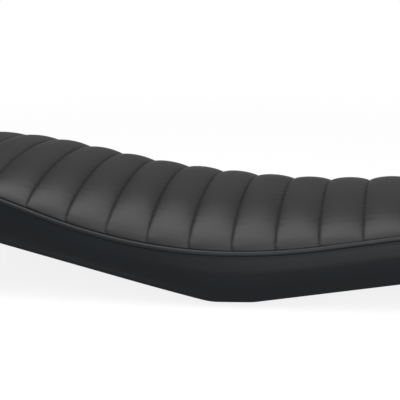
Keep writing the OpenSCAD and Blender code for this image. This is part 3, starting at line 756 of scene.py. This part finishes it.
class SEAT_OT_top_panel(bpy.types.Operator):
    """Quilted top panel with its rolls, stitched creases and puckers"""

    bl_idname = "seat.top_panel"
    bl_label = "Top panel"

    def execute(self, context):
        scene = context.scene
        lines = SeatLines(scene.seat_form)
        form = scene.seat_form
        swell = swelling(scene, lines, scene.seat_sewing)
        outer, crease, across = ribbed_surface(lines, scene.seat_sewing, swell)
        x, _ = lines.rib_rows(PER_RIB)
        t = np.sin(np.linspace(-np.pi/2, np.pi/2, INNER_COLUMNS + 1))
        inner = lines.pillow(x[:, None], t[None, :], lines.wrap_r + form.skin_t, form.quilt_t)
        inner[..., 2] += SEAM_GAP/2
        rows, cols, few = len(x), COLUMNS + 1, INNER_COLUMNS + 1
        base = rows*cols
        sheet = grid_quads(rows, cols)
        under = grid_quads(rows, few)[:, ::-1] + base
        i = np.arange(rows - 1)
        right = np.stack([i*cols, base + i*few, base + (i + 1)*few, (i + 1)*cols], -1)[:, ::-1]
        left = np.stack([i*cols + cols - 1, (i + 1)*cols + cols - 1,
                         base + (i + 1)*few + few - 1, base + i*few + few - 1], -1)[:, ::-1]
        tail = np.concatenate([np.arange(cols), base + np.arange(few)[::-1]])
        nose = np.concatenate([
            (rows - 1)*cols + np.arange(cols)[::-1], base + (rows - 1)*few + np.arange(few)])
        piece = new_piece(
            "ribbed_top", np.concatenate([outer.reshape(-1, 3), inner.reshape(-1, 3)]),
            np.concatenate([sheet, under, right, left]), (tail, nose), ("top_panel",))
        # The crease weight darkens the colour in the material as painted shade
        point_values(piece, "crease", np.concatenate([crease.ravel(), np.zeros(rows*few)]))
        point_values(piece, "run", np.concatenate([across.ravel(), np.zeros(rows*few)]))
        colours = scene.seat_colours
        paint(piece, vinyl("top_cover", colours.vinyl, colours.top_shine, scene.seat_sewing.stitch_pitch))
        return {"FINISHED"}


STITCH_MARGIN = 9
THREAD_SIDES = 6
THREAD_DIPS = (2.4, 1.2, 0.6, 1.2, 2.4)
HALF_STITCH_SHARE = 0.46


class SEAT_OT_groove_stitches(bpy.types.Operator):
    """Lockstitches of black thread down in every groove of the top panel"""

    bl_idname = "seat.groove_stitches"
    bl_label = "Groove stitches"

    def execute(self, context):
        scene = context.scene
        sewing = scene.seat_sewing
        lines = SeatLines(scene.seat_form)
        # The stuffing moves nothing at the grooves, so the stitches lie as well on the unswollen top
        outer = ribbed_surface(lines, sewing)[0]
        normals = grid_normals(outer)
        sewn = slice(STITCH_MARGIN, -STITCH_MARGIN)
        centres, along, up = [], [], []
        for k in range(len(lines.grooves)):
            row = (k + 1)*PER_RIB
            path = outer[row, sewn]
            middles, tangents = resampled(path, sewing.stitch_pitch)
            run = arc_length(path)
            at = (np.arange(len(middles)) + 0.5)*run[-1]/len(middles)
            face = np.stack([np.interp(at, run, normals[row, sewn, c]) for c in range(3)], -1)
            centres.append(middles)
            along.append(tangents)
            up.append(face)
        centres, along, up = (np.concatenate(v) for v in (centres, along, up))
        up = unit(up - along*(up*along).sum(1, keepdims=True))
        r = sewing.thread_d/2
        ring = np.arange(THREAD_SIDES)*2*np.pi/THREAD_SIDES
        outline = np.stack([r*np.cos(ring), r*np.sin(ring)], -1)
        half = HALF_STITCH_SHARE*sewing.stitch_pitch
        points, quads, caps = crossbars(
            centres, along, np.cross(up, along), up, half, outline, r*np.array(THREAD_DIPS))
        piece = new_piece("groove_stitches", points, quads, caps, ())
        paint(piece, spun_thread("black_thread", scene.seat_colours.thread))
        return {"FINISHED"}


LOOP_STEP = 2*MM
BAND_STEP = 3*MM
PIPE_SIDES = 20
PIPE_WAVER = 0.05*MM
PIPE_WAVES = (20*MM, 70*MM)


def whole_loop(lines):
    """Stations and width shares once round the outline, from the middle of the tail over the left side."""
    x, t = lines.side_stations(LOOP_STEP)
    return np.concatenate([x, x[-1:], x[:0:-1]]), np.concatenate([t, [0.0], -t[:0:-1]])


class SEAT_OT_piping(bpy.types.Operator):
    """Piping round the seam of top and side panels"""

    bl_idname = "seat.piping"
    bl_label = "Piping"

    def execute(self, context):
        scene = context.scene
        lines = SeatLines(scene.seat_form)
        x, t = whole_loop(lines)
        rng = np.random.default_rng(scene.seat_sewing.seed + 1)
        a = np.arange(PIPE_SIDES)*2*np.pi/PIPE_SIDES
        run = np.cumsum(np.full(len(x), LOOP_STEP))[:, None]
        r = scene.seat_form.pipe_d/2 + PIPE_WAVER*waves(rng, run, a[None, :]*LOOP_STEP, *PIPE_WAVES)
        points = lines.band(x[:, None], t[:, None], r*np.cos(a), 0, -r*np.sin(a))
        quads = grid_quads(len(x), len(a), True, True)[:, ::-1]
        piece = new_piece("seam_piping", points, quads, (), ("piping",))
        colours = scene.seat_colours
        # The piping takes the side vinyl's darker, bluer copy as painted shade with a painted bluish
        # reflection
        paint(piece, vinyl("piping_cover", colours.side_vinyl, colours.piping_shine))
        return {"FINISHED"}


WRAP_ANGLES = (0, 35, 70, 105, 138)
BELLY_HEIGHTS = (0.1, 0.24, 0.42, 0.72)
BELLY_SHARES = (1.15, 1.5, 1.7, 1.0)
INNER_HEIGHTS = (0.7, 0.42, 0.2)
INNER_SHARES = (0.4, 1.0, 0.75)
HEM_SHARES = (0.15, 0.4, 0.7, 1.0)
SECTION_STEPS = 5


def band_section(lines, x, t):
    """Rings of a side panel at stations x with shares t, as a grid of stations by corners: from the
    seam round the piping's underside, over the belly, round the pan's edge, along the hem and back
    up the inside. A Catmull-Rom curve runs through the corners of the outside."""
    f = lines.form
    wrap = lines.wrap_r
    x, t = x[:, None], t[:, None]
    turn = np.radians([WRAP_ANGLES])
    under = lines.band(x, t, wrap*np.cos(turn), 0, -SEAM_GAP/2 - wrap*np.sin(turn))
    belly = lines.band(x, t, -f.band_belly*np.array([BELLY_SHARES]), np.array([BELLY_HEIGHTS]))
    foot = [
        lines.band(x, t, f.tuck - f.turn_r/4, 1, f.turn_r),
        lines.band(x, t, f.tuck - f.turn_r/8, 1, f.turn_r/5),
        lines.band(x, t, f.tuck + f.turn_r/5, 1, 0),
        lines.band(x, t, f.tuck + f.turn_r, 1)]
    outside = smoothed(np.concatenate([under, belly, *foot], 1), SECTION_STEPS)
    reach = f.tuck + f.turn_r + np.array([HEM_SHARES])*(f.hem_w - f.turn_r)
    below = lines.band(x, t, reach, 1)
    above = lines.band(x, t, reach[:, ::-1], 1, f.skin_t)
    turn_up = [
        lines.band(x, t, f.tuck + f.turn_r, 1, f.skin_t),
        lines.band(x, t, f.tuck + f.skin_t, 1, f.turn_r)]
    inward = f.skin_t - f.band_belly*np.array([INNER_SHARES])
    back = lines.band(x, t, inward, np.array([INNER_HEIGHTS]))
    top = [
        lines.band(x, t, f.skin_t, 0, -wrap - f.skin_t),
        lines.band(x, t, wrap + f.skin_t, 0, -wrap),
        lines.band(x, t, wrap + f.skin_t, 0, -SEAM_GAP/2)]
    return np.concatenate([outside, below, above, *turn_up, back, *top], 1)


class SEAT_OT_side_panels(bpy.types.Operator):
    """Smooth side panels with their hems turned under the pan"""

    bl_idname = "seat.side_panels"
    bl_label = "Side panels"

    def execute(self, context):
        scene = context.scene
        lines = SeatLines(scene.seat_form)
        x, t = lines.side_stations(BAND_STEP)
        x, t = np.append(x, lines.half_len), np.append(t, 0.0)
        rings = band_section(lines, x, t)
        colours = scene.seat_colours
        # The sides take a darker, bluer copy of the top vinyl as painted shade with a painted bluish
        # reflection
        material = vinyl("side_cover", colours.side_vinyl, colours.side_shine)
        rows, cols = rings.shape[:2]
        first, last = np.arange(cols), np.arange(cols)[::-1] + (rows - 1)*cols
        for side, sign in (("left", 1), ("right", -1)):
            flip = slice(None, None, sign)
            points = rings*np.array([1, sign, 1])
            quads = grid_quads(rows, cols, wrap_cols=True)[:, ::-sign]
            piece = new_piece(
                f"side_band_{side}", points, quads, (first[flip], last[flip]),
                (f"side_panel_{side}",))
            paint(piece, material)
        return {"FINISHED"}


STAPLE_DIPS = (1.2*MM, 0.1*MM, 0, 0, 0, 0, 0.1*MM, 1.2*MM)
LEVEL_RUN = 0.1*MM


class SEAT_OT_staples(bpy.types.Operator):
    """Wire staples that hold the hem to the pan"""

    bl_idname = "seat.staples"
    bl_label = "Staples"

    def execute(self, context):
        scene = context.scene
        sewing = scene.seat_sewing
        form = scene.seat_form
        lines = SeatLines(form)
        x, t = whole_loop(lines)
        seam = lines.band(x, t, 0, 0)*np.array([1, 1, 0])
        run = arc_length(np.append(seam, seam[:1], axis=0))
        count = int(run[-1]/sewing.staple_pitch)
        at = (np.arange(count) + 0.5)*run[-1]/count
        inset = form.tuck + form.hem_w/2
        hem = lines.band(x, t, inset, 1)
        hem = np.append(hem, hem[:1], axis=0)

        def along_hem(s):
            return np.stack([np.interp(s, run, hem[:, k]) for k in range(3)], -1)
        ends = along_hem(at - sewing.staple_len/2), along_hem(at + sewing.staple_len/2)
        along = unit(ends[1] - ends[0])
        slope = lines.bottom_z(ends[1][:, 0]) - lines.bottom_z(ends[0][:, 0])
        run_x = ends[1][:, 0] - ends[0][:, 0]
        grade = np.where(np.abs(run_x) > LEVEL_RUN, slope/np.where(run_x == 0, 1, run_x), 0)
        down = unit(np.stack([grade, np.zeros(count), -np.ones(count)], -1))
        down = unit(down - along*(down*along).sum(1, keepdims=True))
        half_w, half_t = sewing.wire_w/2, sewing.wire_t/2
        bevel = half_t/2
        outline = np.array([
            [half_w, -half_t + bevel], [half_w, half_t - bevel], [half_w - bevel, half_t],
            [bevel - half_w, half_t], [-half_w, half_t - bevel], [-half_w, bevel - half_t],
            [bevel - half_w, -half_t], [half_w - bevel, -half_t]])
        middles = (ends[0] + ends[1])/2 + down*half_t
        points, quads, caps = crossbars(
            middles, along, np.cross(down, along), down, sewing.staple_len/2, outline, STAPLE_DIPS)
        piece = new_piece("hem_staple_wires", points, quads, caps, ("hem_staples",))
        paint(piece, plated("staple_plating", scene.seat_colours.zinc))
        return {"FINISHED"}


class SEAT_OT_fittings(bpy.types.Operator):
    """Finishes of the pan, foam, plates, rivets, washers, nuts, screws and buffers"""

    bl_idname = "seat.fittings"
    bl_label = "Fittings"

    def execute(self, context):
        colours = context.scene.seat_colours
        zinc = plated("bright_plating", colours.zinc)
        rubber = moulded_rubber("rubber_moulding", colours.rubber)
        coating = coated_steel("black_coating", colours.coating)
        finishes = {
            "seat_pan": moulded_plastic("pan_moulding", colours.plastic),
            "foam_core": open_foam("foam_cells", colours.foam),
            "cross_plate_front": coating,
            "cross_plate_rear": coating,
            "plate_rivets": plated("rivet_metal", colours.aluminium, 0.4),
            "mounting_studs": zinc,
            "stud_washers": zinc,
            "stud_spring_washers": plated("dark_plating", colours.dark_zinc, 0.36),
            "stud_nuts": zinc,
            "buffer_washers": zinc,
            "buffer_screws": zinc,
            "buffer_tee_nuts": plated("yellow_plating", colours.yellow_zinc),
        }
        for end in ("front", "rear"):
            for side in ("left", "right"):
                finishes[f"buffer_{end}_{side}"] = rubber
        for name, material in finishes.items():
            paint(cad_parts[name], material)
        return {"FINISHED"}


# Stage

FLOOR_REACH = 60.0
LAMP_DISTANCE = 2.2
# Azimuth and elevation in degrees, and the side of the square in metres
LAMPS = {"overhead": (-60, 81, 1.4), "front": (15, 48, 1.2), "low": (15, 13, 0.9), "rear": (180, 50, 1.6)}


def lamp(name, azimuth, elevation, size, radiance):
    """A square lamp that faces the seat from a compass bearing and height, given in degrees.
    Azimuth 0 is on the camera's side, and grows towards the nose. Its power is its radiance
    times pi times its area."""
    data = bpy.data.lights.new(name, "AREA")
    data.shape = "SQUARE"
    data.size = size
    data.energy = radiance*np.pi*size*size
    az, el = np.radians([azimuth, elevation])
    light = bpy.data.objects.new(name, data)
    light.location = np.array([np.sin(az)*np.cos(el), -np.cos(az)*np.cos(el), np.sin(el)])*LAMP_DISTANCE
    light.rotation_euler = Euler((np.pi/2 - el, 0, az))
    bpy.context.scene.collection.objects.link(light)


class SEAT_OT_stage(bpy.types.Operator):
    """Pale floor, soft light and the camera"""

    bl_idname = "seat.stage"
    bl_label = "Stage"

    def execute(self, context):
        scene = context.scene
        stage = scene.seat_stage
        mesh = bpy.data.meshes.new("floor")
        corners = np.array([[-1, -1, 0], [1, -1, 0], [1, 1, 0], [-1, 1, 0]])*FLOOR_REACH
        mesh.from_pydata(corners.tolist(), [], [(0, 1, 2, 3)])
        floor = bpy.data.objects.new("floor", mesh)
        scene.collection.objects.link(floor)
        material = bpy.data.materials.new("pale_floor")
        shade = Shade(material)
        rays = [shade.node("ShaderNodeLightPath", out=f"Is {kind} Ray")
                for kind in ("Camera", "Glossy", "Transmission")]
        seen = (rays[0] + rays[1] + rays[2]).clipped()
        pale = shade.mixed(seen, scene.seat_colours.floor, (0.9, 0.9, 0.9))
        matt = shade.node("ShaderNodeBsdfDiffuse", None, {"Color": pale})
        white = shade.node("ShaderNodeEmission", None, {"Color": (1, 1, 1), "Strength": 1.0})
        far = shade.node("ShaderNodeVectorMath", {"operation": "LENGTH"}, {0: shade.place()}, out=1)
        fade = shade.node(
            "ShaderNodeMapRange", {"interpolation_type": "SMOOTHSTEP"},
            {"Value": far, "From Min": 0.5, "From Max": 2.0, "To Min": 0.85, "To Max": 1.0})
        surface = shade.node("ShaderNodeMixShader", None, {0: seen*fade, 1: matt, 2: white})
        shade.node("ShaderNodeOutputMaterial", None, {"Surface": surface})
        paint(floor, material)

        world = bpy.data.worlds.new("room")
        scene.world = world
        room = Shade(world)
        background = room.node("ShaderNodeBackground", None, {"Color": (1, 1, 1), "Strength": stage.sky})
        room.node("ShaderNodeOutputWorld", None, {"Surface": background})

        for name, (azimuth, elevation, size) in LAMPS.items():
            lamp(f"{name}_lamp", azimuth, elevation, size, getattr(stage, name))

        camera = bpy.data.objects.new("camera", bpy.data.cameras.new("camera"))
        camera.data.lens = stage.lens
        camera.data.sensor_width = 36
        camera.location = stage.camera_place
        camera.rotation_euler = (np.pi/2 - stage.camera_pitch, 0, stage.camera_turn)
        scene.collection.objects.link(camera)
        scene.camera = camera
        scene.view_settings.view_transform = "Standard"
        return {"FINISHED"}


class SEAT_PT_panel(bpy.types.Panel):
    """Lists the seat's pieces"""

    bl_label = "Cafe racer seat"
    bl_idname = "SEAT_PT_panel"
    bl_space_type = "VIEW_3D"
    bl_region_type = "UI"
    bl_category = "Seat"

    def draw(self, context):
        for operator in OPERATORS:
            self.layout.operator(operator.bl_idname)
        for name in GROUPS:
            group = getattr(context.scene, name)
            box = self.layout.box()
            for prop in group.__annotations__:
                box.prop(group, prop)


OPERATORS = (
    SEAT_OT_stage, SEAT_OT_top_panel, SEAT_OT_groove_stitches, SEAT_OT_piping, SEAT_OT_side_panels,
    SEAT_OT_staples, SEAT_OT_fittings)
GROUPS = {
    "seat_form": SeatForm, "seat_sewing": SeatSewing, "seat_colours": SeatColours, "seat_stage": SeatStage}


def register():
    """Registers the groups, operators and panel, and hangs the groups on the scene."""
    for cls in (*GROUPS.values(), *OPERATORS, SEAT_PT_panel):
        bpy.utils.register_class(cls)
    for name, group in GROUPS.items():
        setattr(bpy.types.Scene, name, PointerProperty(type=group))


def unregister():
    """Takes them away again."""
    for name in GROUPS:
        delattr(bpy.types.Scene, name)
    for cls in (SEAT_PT_panel, *reversed(OPERATORS), *reversed(GROUPS.values())):
        bpy.utils.unregister_class(cls)


def main():
    register()
    for operator in OPERATORS:
        section, name = operator.bl_idname.split(".")
        getattr(getattr(bpy.ops, section), name)()


if __name__ == "__main__":
    main()
